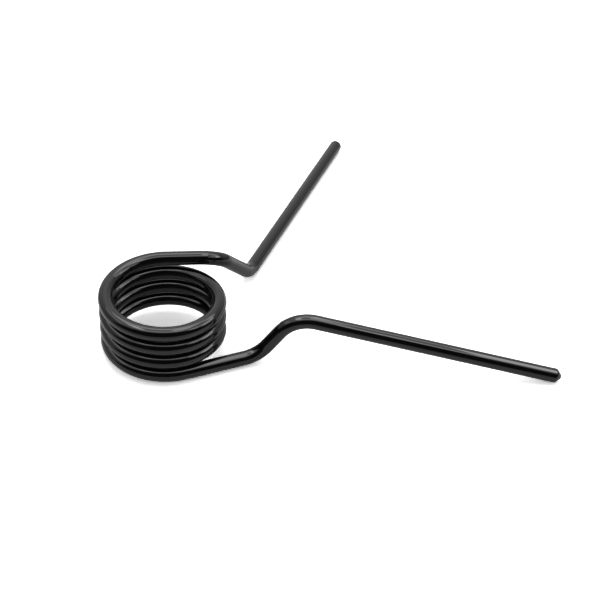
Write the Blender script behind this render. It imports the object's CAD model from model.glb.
"""Finish and stage a left-hand torsion spring of black-coated round wire.

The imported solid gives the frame. The wire is drawn again here along the same centre line,
so that its coating can follow the wire round every bend and turn. Sizes of the spring are
in millimetres and degrees, as in the part's own source, and everything that reaches
Blender is in metres. Bearings turn from +X towards +Y, seen from above.
"""

import logging
from dataclasses import dataclass, field
from enum import Enum
from math import atan, cos, degrees, pi, radians, sin, tan

import bpy
from mathutils import Matrix, Vector

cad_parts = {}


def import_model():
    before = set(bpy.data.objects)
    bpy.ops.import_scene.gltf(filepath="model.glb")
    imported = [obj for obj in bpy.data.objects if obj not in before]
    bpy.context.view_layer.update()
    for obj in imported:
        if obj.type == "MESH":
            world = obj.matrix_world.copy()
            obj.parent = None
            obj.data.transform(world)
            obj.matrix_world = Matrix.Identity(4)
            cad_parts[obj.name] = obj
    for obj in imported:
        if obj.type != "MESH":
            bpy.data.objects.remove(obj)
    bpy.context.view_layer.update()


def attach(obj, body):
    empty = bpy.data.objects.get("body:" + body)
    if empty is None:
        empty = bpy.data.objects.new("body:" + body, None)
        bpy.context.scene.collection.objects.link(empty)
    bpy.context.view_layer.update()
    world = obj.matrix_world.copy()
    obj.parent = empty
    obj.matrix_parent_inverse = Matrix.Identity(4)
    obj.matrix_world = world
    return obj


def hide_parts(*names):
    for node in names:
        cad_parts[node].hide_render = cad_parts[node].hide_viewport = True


log = logging.getLogger("torsion_spring")

MM = 0.001  # metres in a millimetre
CAD_NODE = "torsion_spring"
BODY = "root"
WHITE = (1.0, 1.0, 1.0, 1.0)

BEND_RADIUS = "bend_radius"  # on each corner of a leg, metres
RING_RADIUS = "ring_radius"  # on each ring of the wire, metres
ALONG = "along"  # distance from the lower tip along the wire, metres
SECTION_PLACE = "section_place"  # place on the unit circle of the wire's section
WIRE_PLACE = "wire_place"  # place on the wire as if it were pulled straight, metres

TAPER = pi / 4  # angle at which both ends of the wire taper
CAP_CORNERS = 5  # a face with at least this many corners is one of the wire's two flats

Colour = tuple[float, float, float]
Place = tuple[float, float, float]


def add_object(name: str, data: bpy.types.ID) -> bpy.types.Object:
    """Add an object with the given data to the scene.

    Args:
        name: The object's name.
        data: Its mesh, light or camera.

    Returns:
        The new object.
    """
    made = bpy.data.objects.new(name, data)
    bpy.context.scene.collection.objects.link(made)
    return made


class LegSide(Enum):
    """Which end of the coil a leg leaves, as the sign of its climb out of the coil."""

    UPPER = 1
    LOWER = -1


@dataclass(frozen=True)
class Fade:
    """The two values between which something eases from 0 to 1."""

    start: float
    end: float


class Signal:
    """A number in a node tree, which Python's operators carry on through Math nodes."""

    def __init__(self, bench: "NodeBench", socket: bpy.types.NodeSocket) -> None:
        """Hold a socket of a tree.

        Args:
            bench: The bench on which the tree is laid out.
            socket: The output socket that carries the number.
        """
        self.bench = bench
        self.socket = socket

    def maths(self, operation: str, *others: "Signal | float") -> "Signal":
        """Pass self, and then any other terms, through one Math node."""
        return self.bench.maths(operation, self, *others)

    def __add__(self, other: "Signal | float") -> "Signal":
        """Return self + other."""
        return self.maths("ADD", other)

    def __radd__(self, other: float) -> "Signal":
        """Return other + self."""
        return self.bench.maths("ADD", other, self)

    def __sub__(self, other: "Signal | float") -> "Signal":
        """Return self - other."""
        return self.maths("SUBTRACT", other)

    def __rsub__(self, other: float) -> "Signal":
        """Return other - self."""
        return self.bench.maths("SUBTRACT", other, self)

    def __mul__(self, other: "Signal | float") -> "Signal":
        """Return self * other."""
        return self.maths("MULTIPLY", other)

    def __rmul__(self, other: float) -> "Signal":
        """Return other * self."""
        return self.bench.maths("MULTIPLY", other, self)

    def __truediv__(self, other: "Signal | float") -> "Signal":
        """Return self / other."""
        return self.maths("DIVIDE", other)

    def __gt__(self, other: "Signal | float") -> "Signal":
        """Return 1 where self is greater than other, and 0 elsewhere."""
        return self.maths("GREATER_THAN", other)

    def __lt__(self, other: "Signal | float") -> "Signal":
        """Return 1 where self is less than other, and 0 elsewhere."""
        return self.maths("LESS_THAN", other)

    def at_most(self, limit: "Signal | float") -> "Signal":
        """Return the smaller of self and a limit."""
        return self.maths("MINIMUM", limit)

    def at_least(self, limit: "Signal | float") -> "Signal":
        """Return the larger of self and a limit."""
        return self.maths("MAXIMUM", limit)

    def eased(self, fade: Fade) -> "Signal":
        """Ease from 0 at one value of self to 1 at another.

        Args:
            fade: The two values, beyond which the result stays at 0 or at 1.

        Returns:
            The eased value.
        """
        node = self.bench.node(
            "ShaderNodeMapRange",
            {"interpolation_type": "SMOOTHSTEP"},
            {0: self, 1: fade.start, 2: fade.end},
        )
        return Signal(self.bench, node.outputs[0])

    def blend(self, low: "Signal | float", high: "Signal | float") -> "Signal":
        """Go from one value to another as self goes from 0 to 1."""
        return low + self * (high - low)


class NodeBench:
    """A node tree while it is laid out."""

    def __init__(self, tree: bpy.types.NodeTree) -> None:
        """Take an existing tree.

        Args:
            tree: A shader or geometry node tree.
        """
        self.tree = tree

    @classmethod
    def cleared(cls, owner: bpy.types.Material | bpy.types.World) -> "NodeBench":
        """Give an owner an empty node tree.

        Args:
            owner: The material or world.

        Returns:
            A bench for its tree.
        """
        owner.use_nodes = True
        owner.node_tree.nodes.clear()
        return cls(owner.node_tree)

    def node(
        self,
        kind: str,
        settings: dict[str, object] | None = None,
        sockets: dict[str | int, object] | None = None,
    ) -> bpy.types.Node:
        """Add one node, set it up and feed its sockets.

        Args:
            kind: The node's type name.
            settings: Its own properties, which are set before its sockets.
            sockets: A value, a Signal, an output socket or a list of them for each input.

        Returns:
            The new node.
        """
        node = self.tree.nodes.new(kind)
        for name, value in (settings or {}).items():
            setattr(node, name, value)
        for key, value in (sockets or {}).items():
            feeds = value if isinstance(value, list) else [value]
            for feed in feeds:
                self._feed(node.inputs[key], feed)
        return node

    def _feed(self, socket: bpy.types.NodeSocket, feed: object) -> None:
        """Feed one input socket.

        Args:
            socket: The input socket.
            feed: A signal or an output socket to link it to, or its value.
        """
        if isinstance(feed, Signal):
            feed = feed.socket
        if isinstance(feed, bpy.types.NodeSocket):
            self.tree.links.new(feed, socket)
        else:
            socket.default_value = feed

    def maths(self, operation: str, *terms: Signal | float) -> Signal:
        """Pass terms through one Math node.

        Args:
            operation: The Math node's operation.
            terms: The node's inputs, in order.

        Returns:
            The node's result.
        """
        node = self.node("ShaderNodeMath", {"operation": operation}, dict(enumerate(terms)))
        return self.signal(node)

    def signal(self, node: bpy.types.Node, output: str | int = 0) -> Signal:
        """Return one of a node's outputs as a signal."""
        return Signal(self, node.outputs[output])


# ---------------------------------------------------------------- the wire's centre line


def heading(bearing: float, climb: float = 0.0) -> Vector:
    """Return the unit vector along a bearing that climbs by an angle, both in degrees."""
    turn, rise = radians(bearing), radians(climb)
    return Vector((cos(rise) * cos(turn), cos(rise) * sin(turn), sin(rise)))


def at_level(point: Vector, level: float) -> Vector:
    """Return the point moved straight up or down to a height."""
    return Vector((point.x, point.y, level))


@dataclass(frozen=True)
class Corner:
    """A corner of the wire's centre line and the radius of the bend that rounds it."""

    place: Vector
    bend_radius: float = 0.0


@dataclass
class Coil:
    """The wound part of the spring, a left-hand helix that starts at the bottom."""

    wire_diameter: float
    inner_diameter: float = 33.2
    turn_gap: float = 0.8
    full_turns: int = 3
    part_turn: float = 201.6
    top_run_bearing: float = -5.0
    bottom_level: float = 0.0

    @property
    def mean_diameter(self) -> float:
        """Diameter of the helix that the middle of the wire follows."""
        return self.inner_diameter + self.wire_diameter

    @property
    def pitch(self) -> float:
        """Rise of one turn."""
        return self.wire_diameter + self.turn_gap

    @property
    def turns(self) -> float:
        """Full turns and the part turn that sets the angle between the legs."""
        return self.full_turns + self.part_turn / 360

    @property
    def lead_angle(self) -> float:
        """Slope of the wire in the coil, in degrees."""
        return degrees(atan(self.pitch / (pi * self.mean_diameter)))

    @property
    def bottom_angle(self) -> float:
        """Angle round the axis at which the coil starts."""
        return self.top_run_bearing + 90 + 360 * self.turns

    @property
    def bottom_run_bearing(self) -> float:
        """Bearing in which the wire leaves the bottom of the coil."""
        return self.bottom_angle + 90

    def end(self, side: LegSide) -> Vector:
        """Find where a leg leaves the coil.

        Args:
            side: The leg's end of the coil.

        Returns:
            The point of the centre line there.
        """
        angle, level = self.bottom_angle, self.bottom_level
        if side is LegSide.UPPER:
            angle, level = self.top_run_bearing + 90, level + self.pitch * self.turns
        return at_level(heading(angle) * self.mean_diameter / 2, level)


@dataclass(frozen=True)
class WireTip:
    """A cut end that tapers at 45 degrees to a flat, with both edges of the taper rounded."""

    wire_diameter: float
    flat_diameter: float = 1.4
    rounding: float = 1.2

    @property
    def length(self) -> float:
        """How far back from the tip the wire is full."""
        return (self.wire_diameter - self.flat_diameter) / 2 + self.rounding * tan(TAPER / 2)

    def rest_level(self, slope: float) -> float:
        """Return the height of a tip that rests on its shoulder, at a slope in radians."""
        inwards = self.wire_diameter / 2 - self.rounding
        return self.rounding + inwards * cos(slope) - self.length * sin(slope)


@dataclass
class Leg:
    """A leg laid out from the coil outwards: a run, a crank and the straight leg.

    The lead-out is where a run that leaves the coil on its slope is bent level. The
    slope is that at which the straight leg falls to its tip on the bench.
    """

    side: LegSide
    run_length: float
    crank_bend: float
    crank_reach: float
    leg_bend: float
    length: float
    first_bend_radius: float
    last_bend_radius: float
    slope: float = 0.0
    lead_out_length: float = 0.0
    lead_out_bend_radius: float = 0.0

    def corners(self, coil: Coil, run_bearing: float, tip: WireTip) -> list[Corner]:
        """Place the leg's corners.

        Args:
            coil: The coil that the leg leaves.
            run_bearing: Bearing in which it leaves the coil.
            tip: The shape of the wire's cut end.

        Returns:
            The corners from the coil to the tip.
        """
        crank_bearing = run_bearing + self.crank_bend
        corners = [Corner(coil.end(self.side))]
        climb = self.side.value * coil.lead_angle
        if self.lead_out_length:
            levelled = corners[0].place + heading(run_bearing, climb) * self.lead_out_length
            corners.append(Corner(levelled, self.lead_out_bend_radius))
            climb = 0.0
        rest_of_run = heading(run_bearing, climb) * (self.run_length - self.lead_out_length)
        first = corners[-1].place + rest_of_run
        slope = radians(self.slope)
        end_level = tip.rest_level(slope)
        crank_level = end_level + self.length * tan(slope)
        last = at_level(first + heading(crank_bearing) * self.crank_reach, crank_level)
        end = at_level(last + heading(crank_bearing + self.leg_bend) * self.length, end_level)
        corners += [
            Corner(first, self.first_bend_radius),
            Corner(last, self.last_bend_radius),
            Corner(end),
        ]
        return corners


# ---------------------------------------------------------------- finishes


@dataclass(frozen=True)
class Grain:
    """A random pattern, by the size of its patches in metres and its levels of detail."""

    size: float
    detail: float

    def noise(self, bench: NodeBench, place: bpy.types.NodeSocket) -> Signal:
        """Lay out the pattern.

        Args:
            bench: The bench of the material's tree.
            place: Where on the piece it is read.

        Returns:
            The pattern's value there, from 0 to 1.
        """
        node = bench.node(
            "ShaderNodeTexNoise",
            {},
            {"Vector": place, "Scale": 1 / self.size, "Detail": self.detail},
        )
        return bench.signal(node, "Fac")


@dataclass(frozen=True)
class BlackCoat:
    """A thin, semi-gloss black coating on drawn spring wire.

    It is a little duller and paler where its mottle and the streaks of the wire's drawing
    are strong. Its peel is the faint unevenness of the film.
    """

    film: Colour = (0.0010, 0.0010, 0.0011)
    rubbed: Colour = (0.0024, 0.0024, 0.0023)
    gloss_roughness: float = 0.07
    dull_roughness: float = 0.13
    ior: float = 1.5
    mottle: Grain = Grain(1.6 * MM, 3.0)
    mottle_fade: Fade = Fade(0.35, 0.75)
    streak: Grain = Grain(0.35 * MM, 2.0)
    streak_fade: Fade = Fade(0.4, 0.8)
    streak_length: float = 14.0 * MM
    streak_share: float = 0.5  # height of the streaks as a share of the peel's
    peel: Grain = Grain(0.55 * MM, 2.0)
    peel_height: float = 0.0022 * MM

    def material(self) -> bpy.types.Material:
        """Build the coating.

        Returns:
            A material that follows the wire by its straightened place.
        """
        made = bpy.data.materials.new("black_coat")
        bench = NodeBench.cleared(made)
        place = bench.node("ShaderNodeTexCoord").outputs["Object"]
        unrolled = bench.node("ShaderNodeAttribute", {"attribute_name": WIRE_PLACE})
        drawn = bench.node(
            "ShaderNodeVectorMath",
            {"operation": "MULTIPLY"},
            {0: unrolled.outputs["Vector"], 1: (1.0, 1.0, self.streak.size / self.streak_length)},
        )
        mottle = self.mottle.noise(bench, place)
        peel = self.peel.noise(bench, place)
        streak = self.streak.noise(bench, drawn.outputs[0])
        dulled = (mottle.eased(self.mottle_fade) + streak.eased(self.streak_fade)) / 2
        colour = bench.node(
            "ShaderNodeMix",
            {"data_type": "RGBA"},
            {"Factor": dulled, 6: (*self.film, 1.0), 7: (*self.rubbed, 1.0)},
        )
        bump = bench.node(
            "ShaderNodeBump",
            {},
            {
                "Strength": 1.0,
                "Distance": self.peel_height,
                "Height": peel + streak * self.streak_share,
            },
        )
        coat = bench.node(
            "ShaderNodeBsdfPrincipled",
            {},
            {
                "Base Color": colour.outputs[2],
                "Roughness": dulled.blend(self.gloss_roughness, self.dull_roughness),
                "IOR": self.ior,
                "Normal": bump.outputs["Normal"],
            },
        )
        bench.node("ShaderNodeOutputMaterial", {}, {"Surface": coat.outputs["BSDF"]})
        return made


@dataclass(frozen=True)
class TableSpot:
    """A round spot on the table, all in metres, which fades out round its middle."""

    middle: Place
    fade: Fade

    def outside(self, bench: NodeBench, place: bpy.types.NodeSocket) -> Signal:
        """Measure how far out of the spot a place is.

        Args:
            bench: The bench of the table's material.
            place: The place on the table.

        Returns:
            0 in the spot, 1 outside it, and eased between the two.
        """
        away = bench.node(
            "ShaderNodeVectorMath", {"operation": "DISTANCE"}, {0: place, 1: self.middle}
        )
        return bench.signal(away, "Value").eased(self.fade)


@dataclass(frozen=True)
class PaleFloor:
    """A plain white table top, which the camera sees well exposed.

    Gloss mirrors a pool of light on it, brightest behind the coil and dim further out,
    with a shaded spot between the legs.
    """

    paper: Colour = (0.86, 0.86, 0.86)
    exposure: float = 2.42  # how much brighter the camera sees the paper than it lights
    pool: TableSpot = TableSpot((0.05, 0.09, 0.0), Fade(0.10, 0.34))
    inside_pool: float = 1.0  # share of the paper's brightness that gloss mirrors there
    outside_pool: float = 0.125
    shade: TableSpot = TableSpot((0.042, 0.014, 0.0), Fade(0.012, 0.045))
    inside_shade: float = 0.5  # share of the pool's light that is left there

    def material(self) -> bpy.types.Material:
        """Build the floor's finish.

        Returns:
            A material that is plain white paper to dull surfaces.
        """
        made = bpy.data.materials.new("white_table")
        bench = NodeBench.cleared(made)
        place = bench.node("ShaderNodeTexCoord").outputs["Object"]
        pool = self.pool.outside(bench, place).blend(self.inside_pool, self.outside_pool)
        shade = self.shade.outside(bench, place).blend(self.inside_shade, 1)
        ray = bench.node("ShaderNodeLightPath")
        seen = bench.signal(ray, "Is Camera Ray")
        gloss = bench.signal(ray, "Is Glossy Ray")
        share = 1 + seen * (self.exposure - 1) + gloss * (pool * shade - 1)
        colour = bench.node(
            "ShaderNodeVectorMath", {"operation": "SCALE"}, {0: self.paper, "Scale": share}
        )
        paper = bench.node("ShaderNodeBsdfDiffuse", {}, {"Color": colour.outputs[0]})
        bench.node("ShaderNodeOutputMaterial", {}, {"Surface": paper.outputs[0]})
        return made


# ---------------------------------------------------------------- the spring


@dataclass
class TorsionSpring:
    """The whole spring, one length of wire from the lower tip to the upper tip.

    The wire's surface is drawn in rings. An end is the tapered part behind a tip.
    """

    wire_diameter: float = 5.0
    ring_spacing: float = 0.62
    ring_sides: int = 48
    rings_per_end: int = 20
    points_per_bend: int = 40
    points_per_turn: int = 220
    join_distance: float = 0.01  # closer points of the centre line are made one
    coat: BlackCoat = BlackCoat()
    upper: Leg = field(
        default_factory=lambda: Leg(
            side=LegSide.UPPER,
            run_length=18.4,
            crank_bend=63.0,
            crank_reach=23.5,
            leg_bend=5.5,
            length=102.0,
            first_bend_radius=10.2,
            last_bend_radius=11.0,
        )
    )
    lower: Leg = field(
        default_factory=lambda: Leg(
            side=LegSide.LOWER,
            run_length=27.5,
            crank_bend=-18.3,
            crank_reach=11.9,
            leg_bend=-9.25,
            length=92.0,
            slope=10.15,
            first_bend_radius=9.6,
            last_bend_radius=12.3,
            lead_out_length=3.0,
            lead_out_bend_radius=60.0,
        )
    )
    tip: WireTip = field(init=False)
    coil: Coil = field(init=False)

    def __post_init__(self) -> None:
        """Cut the tips and seat the coil on the lower run, which lies on the bench."""
        self.tip = WireTip(wire_diameter=self.wire_diameter)
        self.coil = Coil(wire_diameter=self.wire_diameter)
        drop = self.lower.lead_out_length * sin(radians(self.coil.lead_angle))
        self.coil.bottom_level = self.wire_diameter / 2 + drop

    def legs_outline(self) -> bpy.types.Object:
        """Draw both legs as chains of edges from corner to corner.

        Returns:
            An object whose points carry their bend radius.
        """
        legs = [
            self.lower.corners(self.coil, self.coil.bottom_run_bearing, self.tip),
            self.upper.corners(self.coil, self.coil.top_run_bearing, self.tip),
        ]
        places: list[Vector] = []
        radii: list[float] = []
        edges: list[tuple[int, int]] = []
        for corners in legs:
            first = len(places)
            places += [corner.place * MM for corner in corners]
            radii += [corner.bend_radius * MM for corner in corners]
            edges += [(index, index + 1) for index in range(first, len(places) - 1)]
        mesh = bpy.data.meshes.new("spring_wire")
        mesh.from_pydata(places, edges, [])
        mesh.attributes.new(BEND_RADIUS, "FLOAT", "POINT").data.foreach_set("value", radii)
        return add_object("spring_wire", mesh)

    def sizes(self) -> dict[str, tuple[str, object]]:
        """List the wire tree's inputs, in metres and radians.

        Returns:
            The socket type and the value of each input, by its name.
        """
        coil = self.coil
        return {
            "Wire Radius": ("NodeSocketFloat", self.wire_diameter / 2 * MM),
            "Tip Length": ("NodeSocketFloat", self.tip.length * MM),
            "Tip Rounding": ("NodeSocketFloat", self.tip.rounding * MM),
            "Coil Radius": ("NodeSocketFloat", coil.mean_diameter / 2 * MM),
            "Coil Height": ("NodeSocketFloat", coil.pitch * coil.turns * MM),
            "Coil Turns": ("NodeSocketFloat", coil.turns),
            "Coil Start Angle": ("NodeSocketFloat", radians(coil.bottom_angle)),
            "Coil Start Level": ("NodeSocketFloat", coil.bottom_level * MM),
            "Points per Turn": ("NodeSocketInt", self.points_per_turn),
            "Points per Bend": ("NodeSocketInt", self.points_per_bend),
            "Join Distance": ("NodeSocketFloat", self.join_distance * MM),
            "Ring Spacing": ("NodeSocketFloat", self.ring_spacing * MM),
            "Ring Sides": ("NodeSocketInt", self.ring_sides),
            "Rings per End": ("NodeSocketInt", self.rings_per_end),
            "Coating": ("NodeSocketMaterial", self.coat.material()),
        }

    def wire_tree(self, sizes: dict[str, tuple[str, object]]) -> bpy.types.NodeTree:
        """Lay out the nodes that bend the legs, wind the coil and draw the wire.

        Args:
            sizes: Name and socket type of each input.

        Returns:
            The geometry node tree.
        """
        tree = bpy.data.node_groups.new("wire_along_centre_line", "GeometryNodeTree")
        tree.interface.new_socket("Legs", in_out="INPUT", socket_type="NodeSocketGeometry")
        for name, (kind, _) in sizes.items():
            tree.interface.new_socket(name, in_out="INPUT", socket_type=kind)
        tree.interface.new_socket("Wire", in_out="OUTPUT", socket_type="NodeSocketGeometry")
        bench = NodeBench(tree)
        given = bench.node("NodeGroupInput")
        line = self._centre_line(bench, given)
        rings = self._rings(bench, given, line)
        wire = self._skin(bench, given, rings)
        bench.node("NodeGroupOutput", {}, {0: wire})
        return tree

    def _centre_line(self, bench: NodeBench, given: bpy.types.Node) -> bpy.types.NodeSocket:
        """Round the legs' corners, wind the coil and join them into one line.

        Args:
            bench: The bench of the wire tree.
            given: The node that holds the tree's inputs.

        Returns:
            The whole centre line, as one curve.
        """
        straight = bench.node("GeometryNodeMeshToCurve", {}, {"Mesh": given.outputs["Legs"]})
        bent = bench.node(
            "GeometryNodeFilletCurve",
            {"mode": "POLY"},
            {
                "Curve": straight.outputs[0],
                "Count": given.outputs["Points per Bend"],
                "Radius": self._stored(bench, BEND_RADIUS, "FLOAT"),
            },
        )
        helix = bench.node(
            "GeometryNodeCurveSpiral",
            {},
            {
                "Resolution": given.outputs["Points per Turn"],
                "Rotations": given.outputs["Coil Turns"],
                "Start Radius": given.outputs["Coil Radius"],
                "End Radius": given.outputs["Coil Radius"],
                "Height": given.outputs["Coil Height"],
                "Reverse": False,
            },
        )
        turned = bench.node("ShaderNodeCombineXYZ", {}, {"Z": given.outputs["Coil Start Angle"]})
        raised = bench.node("ShaderNodeCombineXYZ", {}, {"Z": given.outputs["Coil Start Level"]})
        coil = bench.node(
            "GeometryNodeTransform",
            {},
            {
                "Geometry": helix.outputs[0],
                "Rotation": turned.outputs[0],
                "Translation": raised.outputs[0],
            },
        )
        parts = [bent.outputs[0], coil.outputs[0]]
        pieces = bench.node("GeometryNodeJoinGeometry", {}, {0: parts})
        edges = bench.node("GeometryNodeCurveToMesh", {}, {"Curve": pieces.outputs[0]})
        chain = bench.node(
            "GeometryNodeMergeByDistance",
            {},
            {"Geometry": edges.outputs[0], "Distance": given.outputs["Join Distance"]},
        )
        line = bench.node("GeometryNodeMeshToCurve", {}, {"Mesh": chain.outputs[0]})
        return line.outputs[0]

    def _rings(
        self, bench: NodeBench, given: bpy.types.Node, line: bpy.types.NodeSocket
    ) -> bpy.types.NodeSocket:
        """Space the wire's rings along its line and taper both of its ends.

        An end tapers at 45 degrees, and an arc rounds each edge of the taper: the shoulder
        where it starts and the nose where it meets the flat.

        Args:
            bench: The bench of the wire tree.
            given: The node that holds the tree's inputs.
            line: The wire's centre line.

        Returns:
            A curve with one point for each ring, which carries the ring's radius and its
            distance along the wire.
        """
        length = bench.signal(bench.node("GeometryNodeCurveLength", {}, {"Curve": line}))
        rounding = bench.signal(given, "Tip Rounding")
        end = bench.signal(given, "Tip Length")
        per_end = bench.signal(given, "Rings per End")
        full = length - 2 * end
        between = (full / bench.signal(given, "Ring Spacing")).maths("CEIL")
        last = between + 2 * per_end
        index = bench.signal(bench.node("GeometryNodeInputIndex"))
        from_end = index.at_most(last - index)
        crowding = (from_end / per_end).at_most(1.0) * (pi / 2)  # rings crowd to the tip
        in_end = end * (1 - crowding.maths("COSINE"))
        distance = in_end + (from_end - per_end).at_least(0.0) * (full / between)
        past_middle = index > last / 2
        along = past_middle.blend(distance, length - distance)
        to_wire = end - in_end
        arc_end = rounding * cos(TAPER)
        shoulder = self._arc(rounding, to_wire.at_most(arc_end)) - rounding
        nose = self._arc(rounding, (rounding - in_end).at_least(arc_end)) - 2 * arc_end
        radius = bench.signal(given, "Wire Radius") - to_wire + shoulder + nose
        beads = bench.node("GeometryNodeMeshLine", {}, {"Count": last + 1})
        place = bench.node(
            "GeometryNodeSampleCurve",
            {"mode": "LENGTH", "use_all_curves": True},
            {"Curves": line, "Length": along},
        )
        placed = bench.node(
            "GeometryNodeSetPosition",
            {},
            {"Geometry": beads.outputs[0], "Position": place.outputs["Position"]},
        )
        sized = self._store(bench, placed.outputs[0], RING_RADIUS, "FLOAT", radius)
        measured = self._store(bench, sized, ALONG, "FLOAT", along)
        return bench.node("GeometryNodeMeshToCurve", {}, {"Mesh": measured}).outputs[0]

    def _arc(self, radius: Signal, along: Signal) -> Signal:
        """Return an arc's reach at a distance from its middle, plus that distance."""
        return (radius * radius - along * along).maths("SQRT") + along

    def _skin(
        self, bench: NodeBench, given: bpy.types.Node, rings: bpy.types.NodeSocket
    ) -> bpy.types.NodeSocket:
        """Draw the wire's surface round its rings and coat it.

        Args:
            bench: The bench of the wire tree.
            given: The node that holds the tree's inputs.
            rings: The curve with one point for each ring.

        Returns:
            The coated wire, whose points carry their place on the straightened wire.
        """
        circle = bench.node(
            "GeometryNodeCurvePrimitiveCircle",
            {"mode": "RADIUS"},
            {"Resolution": given.outputs["Ring Sides"], "Radius": 1.0},
        )
        here = bench.node("GeometryNodeInputPosition").outputs[0]
        section = self._store(bench, circle.outputs[0], SECTION_PLACE, "FLOAT_VECTOR", here)
        radius = self._stored(bench, RING_RADIUS, "FLOAT")
        skin = bench.node(
            "GeometryNodeCurveToMesh",
            {},
            {"Curve": rings, "Profile Curve": section, "Scale": radius, "Fill Caps": True},
        )
        across = bench.node(
            "ShaderNodeVectorMath",
            {"operation": "SCALE"},
            {0: self._stored(bench, SECTION_PLACE, "FLOAT_VECTOR"), "Scale": radius},
        )
        along = bench.node("ShaderNodeCombineXYZ", {}, {"Z": self._stored(bench, ALONG, "FLOAT")})
        unrolled = bench.node(
            "ShaderNodeVectorMath",
            {"operation": "ADD"},
            {0: across.outputs[0], 1: along.outputs[0]},
        )
        marked = self._store(
            bench, skin.outputs[0], WIRE_PLACE, "FLOAT_VECTOR", unrolled.outputs[0]
        )
        corners = bench.signal(bench.node("GeometryNodeInputMeshFaceNeighbors"), "Vertex Count")
        smooth = bench.node(
            "GeometryNodeSetShadeSmooth",
            {},
            {"Geometry": marked, "Shade Smooth": corners < CAP_CORNERS},
        )
        real = bench.node("GeometryNodeRealizeInstances", {}, {0: smooth.outputs[0]})
        coated = bench.node(
            "GeometryNodeSetMaterial",
            {},
            {"Geometry": real.outputs[0], "Material": given.outputs["Coating"]},
        )
        return coated.outputs[0]

    def _store(
        self, bench: NodeBench, geometry: bpy.types.NodeSocket, name: str, kind: str, value: object
    ) -> bpy.types.NodeSocket:
        """Store a value on every point.

        Args:
            bench: The bench of the wire tree.
            geometry: The geometry whose points carry it.
            name: The name it is stored under.
            kind: Its data type.
            value: The value, or the socket that gives it.

        Returns:
            The geometry with the value.
        """
        node = bench.node(
            "GeometryNodeStoreNamedAttribute",
            {"data_type": kind, "domain": "POINT"},
            {"Geometry": geometry, "Name": name, "Value": value},
        )
        return node.outputs[0]

    def _stored(self, bench: NodeBench, name: str, kind: str) -> bpy.types.NodeSocket:
        """Return the value that was stored on every point under a name."""
        node = bench.node("GeometryNodeInputNamedAttribute", {"data_type": kind}, {"Name": name})
        return node.outputs[0]

    def build(self) -> bpy.types.Object:
        """Draw the wire and put it in the place of the plain solid.

        Returns:
            The finished wire as a plain mesh.
        """
        sizes = self.sizes()
        wire = self.legs_outline()
        tree = self.wire_tree(sizes)
        drawing = wire.modifiers.new("draw_wire", "NODES")
        drawing.node_group = tree
        for item in tree.interface.items_tree:
            if item.in_out == "INPUT" and item.name in sizes:
                drawing[item.identifier] = sizes[item.name][1]
        view_layer = bpy.context.evaluated_depsgraph_get()
        drawn = bpy.data.meshes.new_from_object(
            wire.evaluated_get(view_layer), depsgraph=view_layer
        )
        wire.modifiers.remove(drawing)
        wire.data = drawn
        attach(wire, BODY)
        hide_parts(CAD_NODE)
        return wire


# ---------------------------------------------------------------- the studio


class LampRole(Enum):
    """What a lamp is there for: to light dull surfaces, or to be mirrored in gloss."""

    LIGHT = "light"
    REFLECTION = "reflection"


@dataclass(frozen=True)
class SoftPanel:
    """A flat rectangular lamp that hangs level over the table and shines down, in metres."""

    name: str
    middle: tuple[float, float]
    size: tuple[float, float]  # along X and along Y
    radiance: float
    height: float = 0.42
    role: LampRole = LampRole.REFLECTION

    def build(self) -> bpy.types.Object:
        """Hang the lamp, out of sight of the camera.

        Returns:
            The lamp's object.
        """
        width, depth = self.size
        light = bpy.data.lights.new(self.name, "AREA")
        light.shape = "RECTANGLE"
        light.size = width
        light.size_y = depth
        light.energy = self.radiance * pi * width * depth
        lamp = add_object(self.name, light)
        lamp.location = (*self.middle, self.height)
        lamp.visible_camera = False
        lamp.visible_diffuse = self.role is LampRole.LIGHT
        lamp.visible_glossy = self.role is LampRole.REFLECTION
        return lamp


SOFT_LAMP = SoftPanel(
    "soft_lamp",
    middle=(0.03, 0.28),
    size=(0.8, 0.8),
    radiance=1.8,
    height=0.9,
    role=LampRole.LIGHT,
)
MIRRORED_PANELS = (
    SoftPanel("back_panel", middle=(0.01, 0.18), size=(0.40, 0.18), radiance=2.6),
    SoftPanel("front_panel", middle=(0.01, -0.145), size=(0.40, 0.11), radiance=1.8),
    SoftPanel("left_panel", middle=(-0.14, 0.0), size=(0.10, 0.15), radiance=5.4),
    SoftPanel("right_panel", middle=(0.092, 0.0), size=(0.085, 0.10), radiance=3.3, height=0.27),
    SoftPanel("leg_panel", middle=(0.190, -0.013), size=(0.084, 0.092), radiance=5.0, height=0.12),
    SoftPanel(
        "leg_back_panel", middle=(0.112, 0.042), size=(0.08, 0.04), radiance=2.2, height=0.12
    ),
    SoftPanel(
        "leg_front_panel", middle=(0.115, -0.062), size=(0.07, 0.024), radiance=2.6, height=0.12
    ),
    SoftPanel("far_left_panel", middle=(-0.46, 0.10), size=(0.20, 0.42), radiance=1.2),
    SoftPanel("far_right_panel", middle=(0.46, -0.12), size=(0.20, 0.42), radiance=1.2),
)


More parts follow.
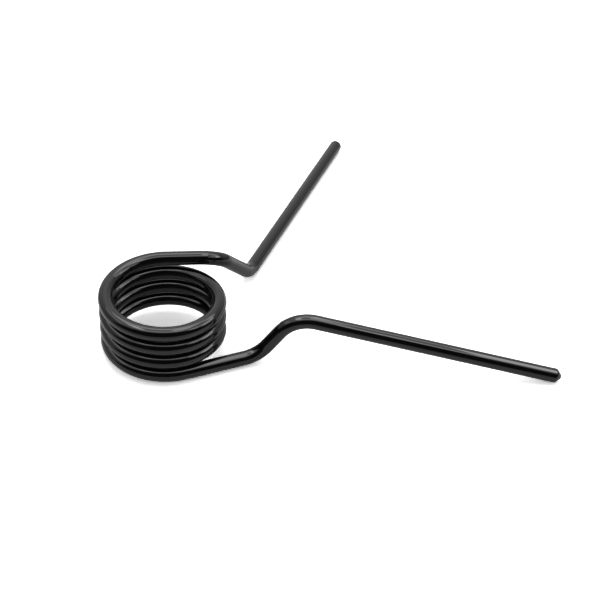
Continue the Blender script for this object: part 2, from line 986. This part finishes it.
@dataclass
class Viewpoint:
    """The camera, which looks down on the coil and the legs, in millimetres and degrees."""

    coil_middle: Vector = field(default_factory=lambda: Vector((0.0, 0.0, 12.969)))
    aim: Vector = field(default_factory=lambda: Vector((47.76, 5.82, 12.969)))
    distance: float = 428.57  # from the middle of the coil
    bearing: float = 90.0  # of the middle of the coil, as the camera sees it
    elevation: float = 38.417
    roll: float = 2.723
    focal_length: float = 74.765
    sensor_width: float = 36.0
    nearest: float = 10.0  # nothing closer than this is seen

    def build(self) -> bpy.types.Object:
        """Set the camera up.

        Returns:
            The camera's object.
        """
        eye = self.coil_middle - heading(self.bearing, -self.elevation) * self.distance
        forward = (self.aim - eye).normalized()
        right = forward.cross(Vector((0.0, 0.0, 1.0))).normalized()
        up = right.cross(forward)
        tilt = radians(self.roll)
        axis_x = right * cos(tilt) + up * sin(tilt)
        axis_y = up * cos(tilt) - right * sin(tilt)
        turn = Matrix((axis_x, axis_y, -forward)).transposed()
        lens = bpy.data.cameras.new("camera")
        lens.sensor_width = self.sensor_width
        lens.lens = self.focal_length
        lens.clip_start = self.nearest * MM
        camera = add_object("camera", lens)
        camera.matrix_world = Matrix.Translation(eye * MM) @ turn.to_4x4()
        bpy.context.scene.camera = camera
        return camera


@dataclass(frozen=True)
class Room:
    """The pale room round the table, which is white to the camera.

    Dull surfaces see a plain dome, which gives little from straight overhead. Gloss
    mirrors walls that rise out of a dim horizon and are weaker to the left and right, a
    brighter ceiling, and a front end behind the camera that is nearly dark. The fades
    run over the height of a direction, which is 0 on the horizon and 1 overhead.
    """

    dome: float = 1.14
    dome_front: float = 1.2  # the same at the front end
    dome_overhead: float = 0.1  # share of the dome's light that comes from overhead
    overhead_fade: Fade = Fade(0.62, 0.86)
    horizon: float = 0.35
    wall: float = 1.02
    wall_fade: Fade = Fade(0.0, 0.2)
    wall_loss: float = 0.5  # how much less the walls give on the far left and right
    ceiling: float = 1.6
    ceiling_fade: Fade = Fade(0.5, 0.9)
    front_end: float = 0.03
    front_fade: Fade = Fade(0.36, 0.80)  # how far forward a direction leans for its height
    least_height: float = 0.05  # keeps that lean within bounds near the horizon

    def build(self) -> bpy.types.World:
        """Colour the room.

        Returns:
            The world, set on the scene.
        """
        world = bpy.data.worlds.new("room")
        bpy.context.scene.world = world
        bench = NodeBench.cleared(world)
        towards = bench.node("ShaderNodeTexCoord").outputs["Generated"]
        parts = bench.node("ShaderNodeSeparateXYZ", {}, {0: towards})
        aside = bench.signal(parts, "X").maths("ABSOLUTE")
        back = bench.signal(parts, "Y")
        height = bench.signal(parts, "Z")
        front = (0 - back / height.at_least(self.least_height)).eased(self.front_fade)

        overhead = height.eased(self.overhead_fade).blend(1, self.dome_overhead)
        dome = front.blend(self.dome, self.dome_front) * overhead

        wall = self.wall - aside * self.wall_loss
        walls = height.eased(self.wall_fade).blend(self.horizon, wall)
        upper = height.eased(self.ceiling_fade) * (self.ceiling - wall)
        mirrored = front.blend(walls + upper, self.front_end)

        ray = bench.node("ShaderNodeLightPath")
        seen = bench.signal(ray, "Is Camera Ray") + bench.signal(ray, "Is Transmission Ray")
        shade = bench.signal(ray, "Is Glossy Ray").blend(dome, mirrored)
        background = bench.node(
            "ShaderNodeBackground", {}, {"Color": WHITE, "Strength": seen.blend(shade, 1)}
        )
        bench.node("ShaderNodeOutputWorld", {}, {"Surface": background.outputs[0]})
        return world


@dataclass
class Studio:
    """A white table in a pale room, under plain soft light, with its sizes in metres.

    One broad lamp behind the coil and the room's dome light dull surfaces. What gloss
    mirrors is laid out apart from that: the room's walls and ceiling, a frame of four
    panels over the coil, three low panels over the lower leg, and one far out on each side.
    """

    floor_half_width: float = 4.0
    floor: PaleFloor = PaleFloor()
    room: Room = Room()
    panels: tuple[SoftPanel, ...] = (SOFT_LAMP, *MIRRORED_PANELS)

    def build(self) -> None:
        """Lay the floor, hang the lamps and colour the room."""
        self._floor()
        for panel in self.panels:
            panel.build()
        self.room.build()
        bpy.context.scene.view_settings.view_transform = "Standard"

    def _floor(self) -> None:
        """Lay the table top at the height on which the spring rests."""
        half = self.floor_half_width
        mesh = bpy.data.meshes.new("floor")
        corners = [(-half, -half, 0.0), (half, -half, 0.0), (half, half, 0.0), (-half, half, 0.0)]
        mesh.from_pydata(corners, [], [(0, 1, 2, 3)])
        mesh.materials.append(self.floor.material())
        add_object("floor", mesh)


def main() -> None:
    """Load the frame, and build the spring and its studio."""
    logging.basicConfig(level=logging.INFO)
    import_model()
    Viewpoint().build()
    wire = TorsionSpring().build()
    mesh = wire.data
    log.info("%s: %d points, %d faces", wire.name, len(mesh.vertices), len(mesh.polygons))
    Studio().build()


if __name__ == "__main__":
    main()
